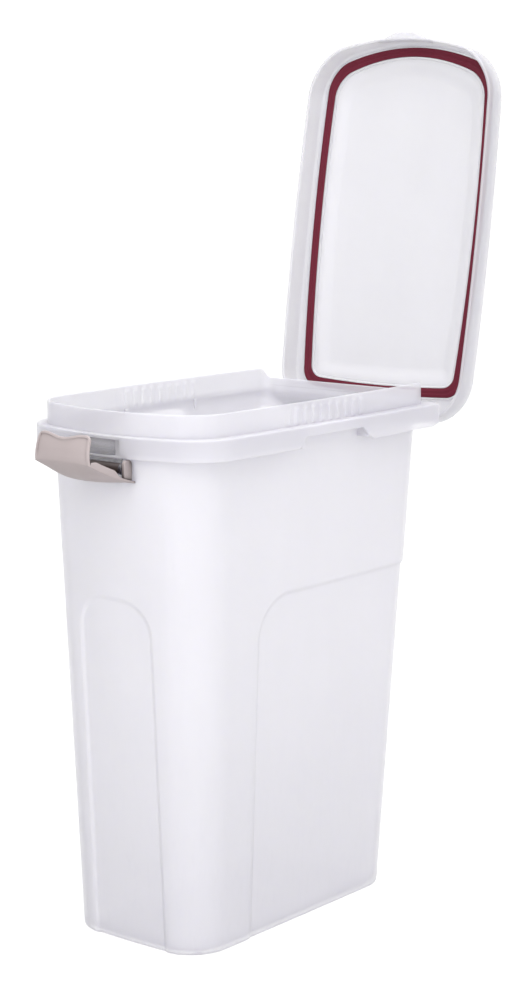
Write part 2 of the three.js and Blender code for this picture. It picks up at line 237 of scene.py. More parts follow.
def slab(name, outline_2d, axis, start, end, bevel=0.8):
    """A flat outline pushed along X, Y or Z from start to end, with its edges rounded."""
    bm = bmesh.new()
    others = [k for k in range(3) if k != axis]
    corners = []
    for a, b in outline_2d:
        place = [0, 0, 0]
        place[others[0]], place[others[1]], place[axis] = a, b, start
        corners.append(bm.verts.new(Vector(place) * MM))
    face = bm.faces.new(corners)
    pushed = bmesh.ops.extrude_face_region(bm, geom=[face])
    shift = Vector((0, 0, 0))
    shift[axis] = (end - start) * MM
    moved = [v for v in pushed["geom"] if isinstance(v, bmesh.types.BMVert)]
    bmesh.ops.translate(bm, verts=moved, vec=shift)
    bmesh.ops.recalc_face_normals(bm, faces=bm.faces)
    if bevel:
        edges = [e for e in bm.edges if e.calc_face_angle(0) > math.radians(30)]
        bmesh.ops.bevel(bm, geom=edges, offset=bevel * MM, segments=3, profile=0.5, affect="EDGES")
    mesh = bpy.data.meshes.new(name)
    bm.to_mesh(mesh)
    bm.free()
    obj = bpy.data.objects.new(name, mesh)
    bpy.context.scene.collection.objects.link(obj)
    return obj


def bar(name, x0, x1, y, z, radius, bevel=0, segments=48):
    """A round bar along X."""
    turns = np.linspace(0, 2 * math.pi, segments, endpoint=False)
    circle = [(y + radius * math.cos(t), z + radius * math.sin(t)) for t in turns]
    return slab(name, circle, 0, x0, x1, bevel)


def baked(obj):
    """Replaces the object's mesh by what its modifiers make of it."""
    depsgraph = bpy.context.evaluated_depsgraph_get()
    mesh = bpy.data.meshes.new_from_object(obj.evaluated_get(depsgraph), depsgraph=depsgraph)
    obj.modifiers.clear()
    obj.data = mesh
    return obj


def combine(obj, others, operation):
    """Joins (UNION) or cuts (DIFFERENCE) closed bodies into obj and removes them."""
    for other in others:
        modifier = obj.modifiers.new(operation, "BOOLEAN")
        modifier.operation = operation
        modifier.solver = "MANIFOLD"
        modifier.object = other
        baked(obj)
        bpy.data.objects.remove(other)
    return obj


def turned(obj, about, angle):
    """Turns a mesh about an axis along X through a point given in millimetres."""
    centre = Matrix.Translation(about * MM)
    obj.data.transform(centre @ Matrix.Rotation(angle, 4, "X") @ centre.inverted())
    return obj


# ------------------------------------------------------------------ tub

PANEL_DEPTH = 2.6
FRONT_PANEL = dict(half=51, top=395, corner=40)
SIDE_PANEL = dict(front=-96, top=389, corner=50)
RIB_COUNT, RIB_PITCH, RIB_HALF, RIB_DEPTH = 10, 14.5, 3.4, 1.8


def tub_plan(z):
    if z <= TUB_TOP:
        return mixed(BASE, TUB, max(z, 0) / TUB_TOP)
    return mixed(TUB, NECK, float(smooth((z - TUB_TOP) / (NECK_START - TUB_TOP))))


def rounded_edge_distance(across, up, radius):
    """How far a point lies outside a rounded corner made by across < 0 and up < 0."""
    a, b = across + radius, up + radius
    outside = np.hypot(np.maximum(a, 0), np.maximum(b, 0))
    return outside + np.minimum(np.maximum(a, b), 0) - radius


def pressed_depth(points, z):
    """Depth of the panels pressed into the lower walls."""
    x, y = points[:, 0], points[:, 1]
    across, up = np.abs(x) - FRONT_PANEL["half"], z - FRONT_PANEL["top"]
    front = rounded_edge_distance(across, up, FRONT_PANEL["corner"])
    front = np.where(y < -120, front, 9)
    back, up = SIDE_PANEL["front"] - y, z - SIDE_PANEL["top"]
    side = rounded_edge_distance(back, up, SIDE_PANEL["corner"])
    nearest = np.minimum(front, side)
    return PANEL_DEPTH * smooth((2 - nearest) / 5)


def rib_height(points, z):
    """Upright ribs on both long sides of the neck."""
    x, y = points[:, 0], points[:, 1]
    from_rib = np.abs((y / RIB_PITCH + RIB_COUNT / 2) % 1 - 0.5) * RIB_PITCH
    across = smooth((RIB_HALF + 0.5 - from_rib) / 1.4)
    in_row = (np.abs(y) < RIB_COUNT * RIB_PITCH / 2) & (np.abs(x) > 100)
    upright = smooth((z - LEDGE_TOP) / 2) * smooth((RIM_TOP - 3 - z) / 3)
    return np.where(in_row, across * upright, 0)


TUB_STATIONS = spaced(
    (0, 0.45, 14), (0.45, 0.95, 24), (0.95, 1, 2), (1, 2, 18), (2, 2.16, 8), (2.16, 2.27, 18),
    (2.27, 2.30, 2), (2.30, 2.76, 120), (2.76, 3, 12), (3, 4, 14), (4, 4.2, 6), (4.2, 5, 12),
)


def wall_ring(z, inset, drop=0.0, extra=0.0):
    """A ring of the tub's wall at height z. drop says how much of the rear rim's drop applies."""
    points = outline(tub_plan(z), inset + extra, TUB_STATIONS)
    normals = outward(points)
    flute = RIB_DEPTH if inset < WALL / 2 else -RIB_DEPTH * 0.8
    shift = rib_height(points, z) * flute - pressed_depth(points, z)
    points = points + normals * shift[:, None]
    heights = np.full(len(points), float(z))
    if drop:
        half = NECK["half"] - NECK["side_bow"]
        behind = smooth((points[:, 1] - (NECK["rear"] - 12)) / 8)
        inwards = smooth((half + 2 - np.abs(points[:, 0])) / 12)
        heights -= REAR_DROP * drop * behind * inwards
    return np.column_stack([points, heights])


def tub_shell(material):
    foot = 5
    rings = [ring(outline(BASE, 22, TUB_STATIONS), 1.6), ring(outline(BASE, 17, TUB_STATIONS), 1.4)]
    rings.append(ring(outline(BASE, 14, TUB_STATIONS), 0))
    for turn in np.linspace(0, math.pi / 2, 6):
        rings.append(wall_ring(foot * (1 - math.cos(turn)), 0, extra=foot * (1 - math.sin(turn))))
    heights = [
        *np.linspace(foot, 330, 24)[1:], *np.linspace(330, 402, 34)[1:],
        *np.linspace(402, TUB_TOP, 10)[1:], *np.linspace(TUB_TOP, NECK_START, 7)[1:],
        *np.linspace(NECK_START, LEDGE_TOP + 3, 5)[1:],
    ]
    rings += [wall_ring(z, 0) for z in heights]
    neck = np.linspace(LEDGE_TOP + 3, RIM_TOP - WALL / 2, 10)[1:]
    rings += [wall_ring(z, 0, drop=float(smooth((z - LEDGE_TOP - 3) / 15))) for z in neck]
    for turn in np.linspace(0, math.pi, 9)[1:-1]:
        z = RIM_TOP - WALL / 2 + WALL / 2 * math.sin(turn)
        rings.append(wall_ring(z, WALL / 2 * (1 - math.cos(turn)), drop=1))
    rings += [wall_ring(z, WALL, drop=float(smooth((z - LEDGE_TOP - 3) / 15))) for z in neck[::-1]]
    inner = [z for z in heights[::-1][1:] if z > 12]
    rings += [wall_ring(z, WALL) for z in inner]
    fillet = 7
    for turn in np.linspace(0, math.pi / 2, 6):
        z = FLOOR + fillet * (1 - math.sin(turn))
        rings.append(wall_ring(z, WALL, extra=fillet * (1 - math.cos(turn))))
    rings.append(ring(outline(BASE, 40, TUB_STATIONS), FLOOR))
    return shell_object("bin_tub_shell", rings, material)


SKIRT_STATIONS = spaced(
    (0, 1, 30), (1, 2, 18), (2, 2.32, 12), (2.32, 2.38, 16),
    (2.38, 2.65, 10), (2.65, 2.71, 16), (2.71, 3, 12), (3, 4, 10), (4, 5, 16),
)


def skirt_edge_height(points):
    """Height of the skirt's lower edge: raised at the hand grips and dropped a little along the sides
    behind them.
    """
    x, y = points[:, 0], points[:, 1]
    edge = np.full(len(points), float(SKIRT_BOTTOM))
    grip = smooth((y - GRIP_FRONT) / 2) * smooth((GRIP_REAR - y) / 2) * (np.abs(x) > 100)
    edge += (GRIP_BOTTOM - SKIRT_BOTTOM) * grip
    behind = smooth((y - GRIP_REAR) / 3) * smooth((205 - y) / 10) * (np.abs(x) > 100)
    edge -= REAR_SKIRT_DROP * behind
    return edge


def skirt_hoop(material):
    inside = outline(NECK, WALL / 2, SKIRT_STATIONS)
    under = LEDGE_TOP - WALL
    edge_round = 1.8
    rings = [ring(inside, under), ring(inside, LEDGE_TOP)]
    rings.append(ring(outline(SKIRT, edge_round + 2, SKIRT_STATIONS), LEDGE_TOP))
    for turn in np.linspace(0, math.pi / 2, 5):
        inset = edge_round * (1 - math.sin(turn))
        z = LEDGE_TOP - edge_round * (1 - math.cos(turn))
        rings.append(ring(outline(SKIRT, inset, SKIRT_STATIONS), z))
    low = skirt_edge_height(outline(SKIRT, 0, SKIRT_STATIONS)) + WALL / 2
    high = LEDGE_TOP - edge_round - 0.4
    for t in (0, 0.25, 0.5, 0.75, 1):
        rings.append(ring(outline(SKIRT, 0, SKIRT_STATIONS), high * (1 - t) + low * t))
    for turn in np.linspace(0, math.pi, 7)[1:-1]:
        inset = WALL / 2 * (1 - math.cos(turn))
        rings.append(ring(outline(SKIRT, inset, SKIRT_STATIONS), low - WALL / 2 * math.sin(turn)))
    for t in (0, 0.5, 1):
        rings.append(ring(outline(SKIRT, WALL, SKIRT_STATIONS), low * (1 - t) + (under - 1.2) * t))
    rings.append(ring(outline(SKIRT, WALL + 1.2, SKIRT_STATIONS), under))
    return hoop_object("bin_tub_skirt", rings[::-1], material)


def ear_outline(y, z, radius, root_y, root_low, root_high):
    """A rounded ear about (y, z) that widens back to its root."""
    away = 1 if root_y < y else -1
    turns = np.linspace(-math.pi / 2, math.pi / 2, 13)
    tip = [(y + away * radius * math.cos(t), z + radius * math.sin(t)) for t in turns]
    return [(root_y, root_low), *tip, (root_y, root_high)]


HINGE_MIDDLE = 65
LUG_INNER, LUG_OUTER = 15, 22
LATCH_LUG = (32.8, 37.2)


def tub_lugs():
    root = SKIRT["rear"] - WALL / 2
    hinge_ear = ear_outline(HINGE.y, HINGE.z, 7, root, SKIRT_BOTTOM + 0.5, LEDGE_TOP - 5)
    lugs = []
    for middle in (-HINGE_MIDDLE, HINGE_MIDDLE):
        for side in (-1, 1):
            lo, hi = sorted((middle + side * LUG_INNER, middle + side * LUG_OUTER))
            lugs.append(slab("hinge_lug", hinge_ear, 0, lo, hi))
    latch_root = TUB["front"] - TUB["front_bow"] * 0.72
    latch_ear = ear_outline(PIVOT.y, PIVOT.z, 6.5, latch_root, PIVOT.z - 16, LEDGE_TOP - WALL + 0.5)
    for side in (-1, 1):
        lo, hi = sorted((side * LATCH_LUG[0], side * LATCH_LUG[1]))
        lugs.append(slab("latch_lug", latch_ear, 0, lo, hi, bevel=0.6))
    return lugs


def skirt_end_webs():
    """Walls that close the ends of the skirt on both sides of each hand grip."""
    webs = []
    for side in (-1, 1):
        for y0, y1 in ((-55.5, -49.2), (65.2, 69.5)):
            lo, hi = sorted((side * 119.5, side * (SKIRT["half"] - 0.9)))
            plan = [(lo, y0), (hi, y0), (hi, y1), (lo, y1)]
            webs.append(slab("web", plan, 2, SKIRT_BOTTOM + 0.3, LEDGE_TOP - WALL / 2))
    return webs


def make_tub(material):
    tub = tub_shell(material)
    combine(tub, [skirt_hoop(material), *tub_lugs(), *skirt_end_webs()], "UNION")
    bores = []
    for middle in (-HINGE_MIDDLE, HINGE_MIDDLE):
        reach = LUG_OUTER + 1
        bores.append(bar("bore", middle - reach, middle + reach, HINGE.y, HINGE.z, HINGE_PIN + CLEARANCE))
    for side in (-1, 1):
        lo, hi = sorted((side * (LATCH_LUG[0] + 0.9), side * (LATCH_LUG[1] + 1)))
        bores.append(bar("bore", lo, hi, PIVOT.y, PIVOT.z, LATCH_PIN + CLEARANCE))
    left, right = -WINDOW_HALF, WINDOW_HALF
    window = [(left, WINDOW_LOW), (right, WINDOW_LOW), (right, WINDOW_TOP), (left, WINDOW_TOP)]
    front = SKIRT["front"] - SKIRT["front_bow"]
    bores.append(slab("window", window, 1, front - 3, front + WALL + 0.9, bevel=1.2))
    combine(tub, bores, "DIFFERENCE")
    tub.name = tub.data.name = "tub_moulding"
    return tub


# ------------------------------------------------------------------ lid

LID_STATIONS = spaced((0, 1, 26), (1, 2, 22), (2, 3, 30), (3, 4, 20), (4, 5, 20))


def lid_ring(plan, inset, z):
    return ring(outline(plan, inset, LID_STATIONS), z)


def shrunk(base_ring, share, z):
    centre = (base_ring.max(0) + base_ring.min(0)) / 2
    points = centre + (base_ring - centre) * share
    points[:, 2] = z
    return points


def panel_rings(flat_z, rise, inset_low, inset_high, crown):
    """The raised centre panel, from its middle out to where it meets the roof."""
    edge = lid_ring(SEAL, inset_high, flat_z + rise)
    shares = (0.06, 0.25, 0.45, 0.65, 0.85, 0.95)
    rings = [shrunk(edge, share, flat_z + rise + crown * (1 - share * share)) for share in shares]
    for t in np.linspace(0, 1, 9):
        inset = inset_high + (inset_low - inset_high) * t
        rings.append(lid_ring(SEAL, inset, flat_z + rise * (1 - float(smooth(t)))))
    return rings


def lid_shell(material):
    under = LID_TOP - WALL
    edge = 5
    rings = panel_rings(LID_TOP, 5, 14, 32, 1.5)
    rings.append(lid_ring(LID, edge + 3, LID_TOP))
    for turn in np.linspace(0, math.pi / 2, 8):
        rings.append(lid_ring(LID, edge * (1 - math.sin(turn)), LID_TOP - edge * (1 - math.cos(turn))))
    rings += [lid_ring(LID, 0, z) for z in (LID_TOP - 9, LID_TOP - 16, LID_EDGE + 5.5)]
    bead = WALL / 2 + 0.35
    rings.append(lid_ring(LID, -0.5, LID_EDGE + 3.6))
    for turn in np.linspace(0, math.pi, 8):
        inset = -0.5 + bead * (1 - math.cos(turn))
        rings.append(lid_ring(LID, inset, LID_EDGE + bead * (1 - math.sin(turn))))
    rings += [lid_ring(LID, WALL, z) for z in (LID_EDGE + 4.5, LID_EDGE + 12, under - 4)]
    for turn in np.linspace(0, math.pi / 2, 6):
        rings.append(lid_ring(LID, WALL + 4 * (1 - math.cos(turn)), under - 4 * (1 - math.sin(turn))))
    rib_low = SEAL_LOW + 0.6
    ridge_low = SEAL_LOW - 0.2
    outer_rib = (
        (-1.9, under), (-1.7, rib_low + 0.3), (-1.4, rib_low), (-0.5, rib_low),
        (-0.15, rib_low + 0.4), (-0.1, under),
    )
    inner_rib = (
        (0.1, under), (0.15, rib_low + 0.4), (0.15, ridge_low + 0.5), (0.6, ridge_low),
        (1.5, ridge_low), (2.1, ridge_low + 0.5), (2.6, under),
    )
    rings += [lid_ring(SEAL, inset, z) for inset, z in outer_rib]
    rings += [lid_ring(SEAL, SEAL_WIDTH + inset, z) for inset, z in inner_rib]
    rings += panel_rings(under, 5, 14 + WALL, 32 + WALL, 1.5)[::-1]
    return shell_object("lid_shell", rings, material)


def lid_tongue():
    """A smooth bulge on the lid's front edge that the latch closes over."""
    half, reach, low, high = 37, 8.5, 578, 589
    xs = np.linspace(-half, half, 41)
    front = LID["front"] - LID["front_bow"] * (1 - (xs / 132) ** 2)
    swell = reach * smooth((half - np.abs(xs)) / 27)
    profile = [
        (0.0, high), (0.72, high), (0.92, high - 0.8), (1.0, high - 2.5), (1.0, low + 6),
        (0.93, low + 3.5), (0.8, low + 2), (0.0, low),
    ]
    back = front + WALL + 0.4
    rows = []
    for share, z in profile:
        y = np.where(share == 0, back, front + 0.8 - (swell + 0.8) * share)
        rows.append(np.column_stack([xs, y, np.full(len(xs), z)]))
    count = len(xs)
    faces = []
    for r in range(len(rows)):
        start, after = r * count, ((r + 1) % len(rows)) * count
        faces += [(start + c, after + c, after + c + 1, start + c + 1) for c in range(count - 1)]
    faces.append(tuple(r * count for r in range(len(rows) - 1, -1, -1)))
    faces.append(tuple(r * count + count - 1 for r in range(len(rows))))
    return mesh_object("lid_tongue", np.vstack(rows), faces)


def lid_knuckles():
    pieces = []
    arm_y = LID["rear"] - WALL - 2
    for middle in (-HINGE_MIDDLE, HINGE_MIDDLE):
        lo, hi = middle - 14.4, middle + 14.4
        front, rear, top = arm_y - 2.5, LID["rear"] - 0.3, LID_EDGE + 7
        arm = [(front, HINGE.z), (rear, HINGE.z), (rear, top), (front, top)]
        pieces.append(slab("arm", arm, 0, lo, hi))
        pieces.append(bar("knuckle", lo, hi, HINGE.y, HINGE.z, 6.4, bevel=0.7))
    return pieces


def make_lid(material):
    lid = lid_shell(material)
    combine(lid, [lid_tongue(), *lid_knuckles()], "UNION")
    reach = HINGE_MIDDLE + LUG_OUTER
    combine(lid, [bar("bore", -reach, reach, HINGE.y, HINGE.z, HINGE_PIN + CLEARANCE)], "DIFFERENCE")
    lid.name = lid.data.name = "lid_moulding"
    return turned(lid, HINGE, -OPEN_ANGLE)


def make_seal(material):
    """A soft flat ring with rounded edges and a shallow groove along its face."""
    high = SEAL_LOW + 2.6
    wide = SEAL_WIDTH
    section = [
        (0, high - 0.8), (0, SEAL_LOW + 0.9), (0.25, SEAL_LOW + 0.3), (0.9, SEAL_LOW),
        (3.9, SEAL_LOW), (4.5, SEAL_LOW + 0.5), (wide - 4.5, SEAL_LOW + 0.5), (wide - 3.9, SEAL_LOW),
        (wide - 0.9, SEAL_LOW), (wide - 0.25, SEAL_LOW + 0.3), (wide, SEAL_LOW + 0.9),
        (wide, high - 0.8), (wide - 0.7, high), (0.7, high),
    ]
    rings = [lid_ring(SEAL, inset, z) for inset, z in section]
    seal = hoop_object("seal_ring", rings, material)
    return turned(seal, HINGE, -OPEN_ANGLE)


# ------------------------------------------------------------------ latch

LATCH_THICK = 2.8
LATCH_ROUND = 1.1
LATCH_LENGTH = 97
LATCH_HALF = ((0, 44), (60, 39.5), (LATCH_LENGTH, 37))
LATCH_DIP, LATCH_CORNER = 4, 7
# Outer face, from the pivot: tail, pull, nose, pull, top edge; in the middle and at the ends
LATCH_MIDDLE = ((5.5, -15.2), (-37, -18.5), (-57.5, 11), (-61.5, 23), (-53, 41))
LATCH_END = ((9.2, -16.2), (-22, -8), (-56, 9), (-59, 22), (-50, 41))
LATCH_RIM, LATCH_SUNK = 3.0, 1.2
LATCH_EAR = (37.5, 41.3)
CURVE_POINTS = 80
COLUMN_POINTS = 110


def latch_curve(share_out, lengthwise):
    """The outer face along one column: its points, their distance along it, and the nose's.
    share_out is 0 in the middle and 1 at an end."""
    blend = share_out ** 2.5
    tail, pull, nose, pull_up, top = [
        np.array(m) * (1 - blend) + np.array(e) * blend for m, e in zip(LATCH_MIDDLE, LATCH_END)
    ]
    t = np.linspace(0, 1, CURVE_POINTS)[:, None]
    base = tail * (1 - t) ** 2 + 2 * pull * t * (1 - t) + nose * t * t
    plate = nose * (1 - t) ** 2 + 2 * pull_up * t * (1 - t) + top * t * t
    path = np.vstack([base, plate[1:]])
    along = np.concatenate([[0], np.cumsum(np.linalg.norm(np.diff(path, axis=0), axis=1))])
    s = lengthwise * along[-1]
    points = np.column_stack([np.interp(s, along, path[:, 0]), np.interp(s, along, path[:, 1])])
    return points, s, along[CURVE_POINTS - 1]


def rounding(gap, radius):
    """How far a rounded edge falls back, at a distance gap in from that edge."""
    short = np.clip(radius - gap, 0, None)
    return radius - np.sqrt(np.clip(radius**2 - short**2, 0, None))


def latch_column(u):
    """A closed loop round the latch's section at u, which runs from -1 to 1 across it."""
    out = abs(u)
    inset = rounding((1 - out) * 38, LATCH_ROUND)
    dip = LATCH_DIP * (0.5 + 0.5 * math.cos(math.pi * min(out * 34 / 25, 1)))
    past = max(out - (1 - LATCH_CORNER / 36), 0) * 36 / LATCH_CORNER
    corner = LATCH_CORNER * (1 - math.sqrt(max(1 - past**2, 0)))
    end = 1 - (dip + corner + inset) / LATCH_LENGTH
    lengthwise = np.linspace(inset / LATCH_LENGTH, end, COLUMN_POINTS)
    outer, s, nose = latch_curve(out, lengthwise)
    way = np.gradient(outer, axis=0)
    way /= np.linalg.norm(way, axis=1, keepdims=True)
    inward = np.column_stack([way[:, 1], -way[:, 0]])
    half = np.interp(s, *zip(*LATCH_HALF))
    from_end = (1 - out) * half
    from_edge = np.minimum(from_end, s[-1] - s)
    sunk = LATCH_SUNK * smooth((from_edge - LATCH_RIM) / 0.9) * smooth((s - nose + 2) / 14)
    lip = 5.2 * smooth((s - 21) / 14) * smooth((nose + 4 - s) / 14) * smooth((3.4 - from_end) / 1.2)
    round_off = rounding(s - s[0], 0.7) + rounding(s[-1] - s, 1.4)
    front = outer + inward * (inset + round_off + sunk)[:, None]
    back = outer + inward * (LATCH_THICK + lip - inset - round_off)[:, None]
    loop = np.vstack([front, back[::-1]])
    x = u * np.concatenate([half, half[::-1]])
    return np.column_stack([x, loop[:, 0] + PIVOT.y, loop[:, 1] + PIVOT.z])


def latch_plate(material):
    """The scoop-shaped plate that the fingers pull, with raised lips along its raking ends."""
    turns = np.linspace(0, 1, 7)
    tight = 1 - (1 - np.cos(turns * math.pi / 2)) * LATCH_ROUND / 38
    lips = np.linspace(tight[-1], 0.87, 14)[1:]
    wide = np.linspace(0.87, 0, 24)[1:]
    right = np.concatenate([tight, lips, wide])
    across = np.concatenate([-right, right[::-1][1:]])
    return shell_object("latch_plate", [latch_column(u) for u in across], material, folded=True)


def latch_details():
    pieces = []
    for side in (-1, 1):
        lo, hi = sorted((side * LATCH_EAR[0], side * LATCH_EAR[1]))
        ear = [(-5.5, -12.2), (6.5, -14)]
        for centre_y, start in ((2, 0), (-1, 90)):
            turns = np.radians(np.linspace(start, start + 90, 8))
            ear += [(centre_y + 4.5 * math.cos(t), 5 + 4.5 * math.sin(t)) for t in turns]
        ear = [(PIVOT.y + y, PIVOT.z + z) for y, z in ear]
        pieces.append(slab("ear", ear, 0, lo, hi, bevel=0.5))
    pieces.append(bar("hinge_bar", -32.3, 32.3, PIVOT.y, PIVOT.z, 5.5, bevel=0.8))
    web = [(-3, 0), (-3, -13.2), (0, -13.4), (0, 0)]
    web = [(PIVOT.y + y, PIVOT.z + z) for y, z in web]
    pieces.append(slab("bar_web", web, 0, -14, 14, bevel=0.5))
    y, z = PIVOT.y - 52, PIVOT.z + 39 - LATCH_DIP
    hook = [(y + 1.4, z - 7), (y + 12, z - 3), (y + 12, z - 0.5), (y + 1.4, z - 3.5)]
    pieces.append(slab("hook", hook, 0, -24, 24, bevel=0.5))
    return pieces


def make_latch(material):
    latch = latch_plate(material)
    combine(latch, latch_details(), "UNION")
    bores = []
    for side in (-1, 1):
        lo, hi = sorted((side * (LATCH_EAR[0] - 1.5), side * (LATCH_EAR[1] - 1.1)))
        bores.append(bar("bore", lo, hi, PIVOT.y, PIVOT.z, LATCH_PIN + CLEARANCE))
    combine(latch, bores, "DIFFERENCE")
    latch.name = latch.data.name = "latch_clip"
    return latch


# ------------------------------------------------------------------ pins

def make_pin(name, x0, x1, centre, radius, material):
    """A round pin along X with rounded ends."""
    pin = bar(name, x0, x1, centre.y, centre.z, radius, bevel=radius * 0.3, segments=40)
    pin.data.materials.append(material)
    return pin


# ------------------------------------------------------------------ materials

SCATTER_WEIGHT, SCATTER_REACH = 0.5, 0.003
PLASTIC_ALPHA = 0.5
SHELTER_SHADE = 0.7


class Shader:
    """A node material with one Principled shader and helpers for procedural detail."""

    def __init__(self, name):
        self.material = bpy.data.materials.new(name)
        self.material.use_nodes = True
        self.nodes = self.material.node_tree.nodes
        self.links = self.material.node_tree.links
        self.principled = self.nodes["Principled BSDF"]
        self.coords = self.nodes.new("ShaderNodeTexCoord").outputs["Object"]

    def set(self, **values):
        for key, value in values.items():
            self.principled.inputs[key.replace("_", " ")].default_value = value

    def noise(self, scale, detail=3, roughness=0.5, stretch=(1, 1, 1)):
        mapping = self.nodes.new("ShaderNodeMapping")
        mapping.inputs["Scale"].default_value = stretch
        self.links.new(self.coords, mapping.inputs["Vector"])
        noise = self.nodes.new("ShaderNodeTexNoise")
        noise.inputs["Scale"].default_value = scale
        noise.inputs["Detail"].default_value = detail
        noise.inputs["Roughness"].default_value = roughness
        self.links.new(mapping.outputs["Vector"], noise.inputs["Vector"])
        return noise.outputs["Fac"]

    def remap(self, value, low, high, out_low, out_high):
        node = self.nodes.new("ShaderNodeMapRange")
        node.inputs["From Min"].default_value = low
        node.inputs["From Max"].default_value = high
        node.inputs["To Min"].default_value = out_low
        node.inputs["To Max"].default_value = out_high
        self.links.new(value, node.inputs["Value"])
        return node.outputs["Result"]

    def math(self, operation, a, b):
        node = self.nodes.new("ShaderNodeMath")
        node.operation = operation
        for socket, value in zip(node.inputs, (a, b)):
            if isinstance(value, (int, float)):
                socket.default_value = value
            else:
                self.links.new(value, socket)
        return node.outputs["Value"]

    def blend(self, factor, a, b):
        node = self.nodes.new("ShaderNodeMix")
        node.data_type = "RGBA"
        self.links.new(factor, node.inputs["Factor"])
        for socket, value in (("A", a), ("B", b)):
            place = [s for s in node.inputs if s.name == socket and s.type == "RGBA"][0]
            if isinstance(value, tuple):
                place.default_value = (*value, 1)
            else:
                self.links.new(value, place)
        return [s for s in node.outputs if s.type == "RGBA"][0]

    def openness(self, reach):
        """1 in the open and towards 0 in narrow gaps and corners, seen over a reach in metres."""
        node = self.nodes.new("ShaderNodeAmbientOcclusion")
        node.samples = 6
        node.inputs["Distance"].default_value = reach
        return node.outputs["AO"]

    def place(self):
        """X, Y and Z of the point in metres."""
        split = self.nodes.new("ShaderNodeSeparateXYZ")
        self.links.new(self.coords, split.inputs["Vector"])
        return split.outputs

    def height(self):
        return self.place()["Z"]

    def inside_box(self, low, high, soft=0.8):
        """1 inside a box given in millimetres, fading to 0 over the soft edge outside it."""
        mask = None
        for value, start, end in zip(self.place(), low, high):
            rising = self.remap(value, (start - soft) * MM, start * MM, 0, 1)
            falling = self.remap(value, end * MM, (end + soft) * MM, 1, 0)
            between = self.math("MULTIPLY", rising, falling)
            mask = self.math("MULTIPLY", mask, between) if mask else between
        return mask

    def bump(self, height, strength, distance):
        """Raises the surface by a height output. The distance is in metres."""
        node = self.nodes.new("ShaderNodeBump")
        node.inputs["Strength"].default_value = strength
        node.inputs["Distance"].default_value = distance
        self.links.new(height, node.inputs["Height"])
        self.links.new(node.outputs["Normal"], self.principled.inputs["Normal"])

    def use(self, socket, value):
        self.links.new(value, self.principled.inputs[socket])


def latch_pocket(shader, openness):
    """The wall behind the skirt's window and the latch's lugs, where the latch keeps light out."""
    window_wall = shader.inside_box((-29.4, -227.5, 547), (29.4, -215, LEDGE_TOP - WALL))
    lug_area = shader.inside_box((-37.3, -238, 533), (37.3, -219, 548))
    pocket = shader.math("MAXIMUM", window_wall, lug_area)
    upwards = shader.remap(shader.height(), 552 * MM, 570 * MM, 1, 0.75)
    enclosed = shader.remap(openness, 0.8, 0.92, 1, 0)
    return shader.math("MULTIPLY", shader.math("MULTIPLY", pocket, enclosed), upwards)


def milky_plastic(tone=1.0, rim_shade=0.0):
    """Cloudy see-through plastic. tone darkens all of it as painted shade, and rim_shade paints shade on
    it above the body.
    """
    shader = Shader("milky_plastic")

    def tinted(*colour):
        return tuple(tone * part for part in colour)

    cloud = shader.noise(9, 4, 0.55)
    streak = shader.noise(22, 3, 0.5, (1, 1, 0.12))
    mottle = shader.remap(shader.math("ADD", cloud, streak), 0.7, 1.3, 0, 1)
    colour = shader.blend(mottle, tinted(0.87, 0.865, 0.895), tinted(0.895, 0.89, 0.925))
    # Painted shade: the body is painted darker towards its bottom, where less light reaches.
    low = shader.remap(shader.height(), 0.0, 0.30, 1, 0)
    colour = shader.blend(low, colour, tinted(0.80, 0.795, 0.825))
    # Painted shade: the bin's floor and the foot of its walls are painted darker, so that they show
    # through the walls
    floor_shade_area = shader.inside_box((-84, -172, -1), (84, 160, 4.2), soft=5)
    colour = shader.blend(shader.math("MULTIPLY", floor_shade_area, 0.8), colour, tinted(0.5, 0.49, 0.55))
    # Painted shade: the neck, ledge and skirt above the body are tinted darker by rim_shade.
    rim = shader.remap(shader.height(), TUB_TOP * MM, (TUB_TOP + 10) * MM, 0, rim_shade)
    colour = shader.blend(rim, colour, tinted(0.66, 0.655, 0.70))
    # Painted shade: the plastic is darker in gaps and corners, where less light reaches.
    openness = shader.openness(0.035)
    shelter = shader.remap(openness, 0.2, 0.75, 1, 0)
    colour = shader.blend(shader.math("MULTIPLY", shelter, SHELTER_SHADE), colour, tinted(0.52, 0.5, 0.57))
    colour = shader.blend(latch_pocket(shader, openness), colour, (0.07, 0.06, 0.075))
    scuffs = shader.remap(shader.noise(160, 5, 0.7, (1, 1, 0.2)), 0.5, 0.75, 0, 1)
    worn = shader.math("MULTIPLY", low, scuffs)
    shader.use("Base Color", shader.blend(shader.math("MULTIPLY", worn, 0.3), colour, (0.72, 0.715, 0.76)))
    rough = shader.remap(cloud, 0.3, 0.7, 0.33, 0.42)
    shader.use("Roughness", shader.math("ADD", rough, shader.math("MULTIPLY", worn, 0.25)))
    shader.set(Subsurface_Weight=SCATTER_WEIGHT, Subsurface_Radius=(1.0, 1.0, 1.15),
               Subsurface_Scale=SCATTER_REACH, IOR=1.49, Alpha=PLASTIC_ALPHA)
    shader.bump(shader.noise(14, 2), 0.1, 0.0006)
    return shader.material


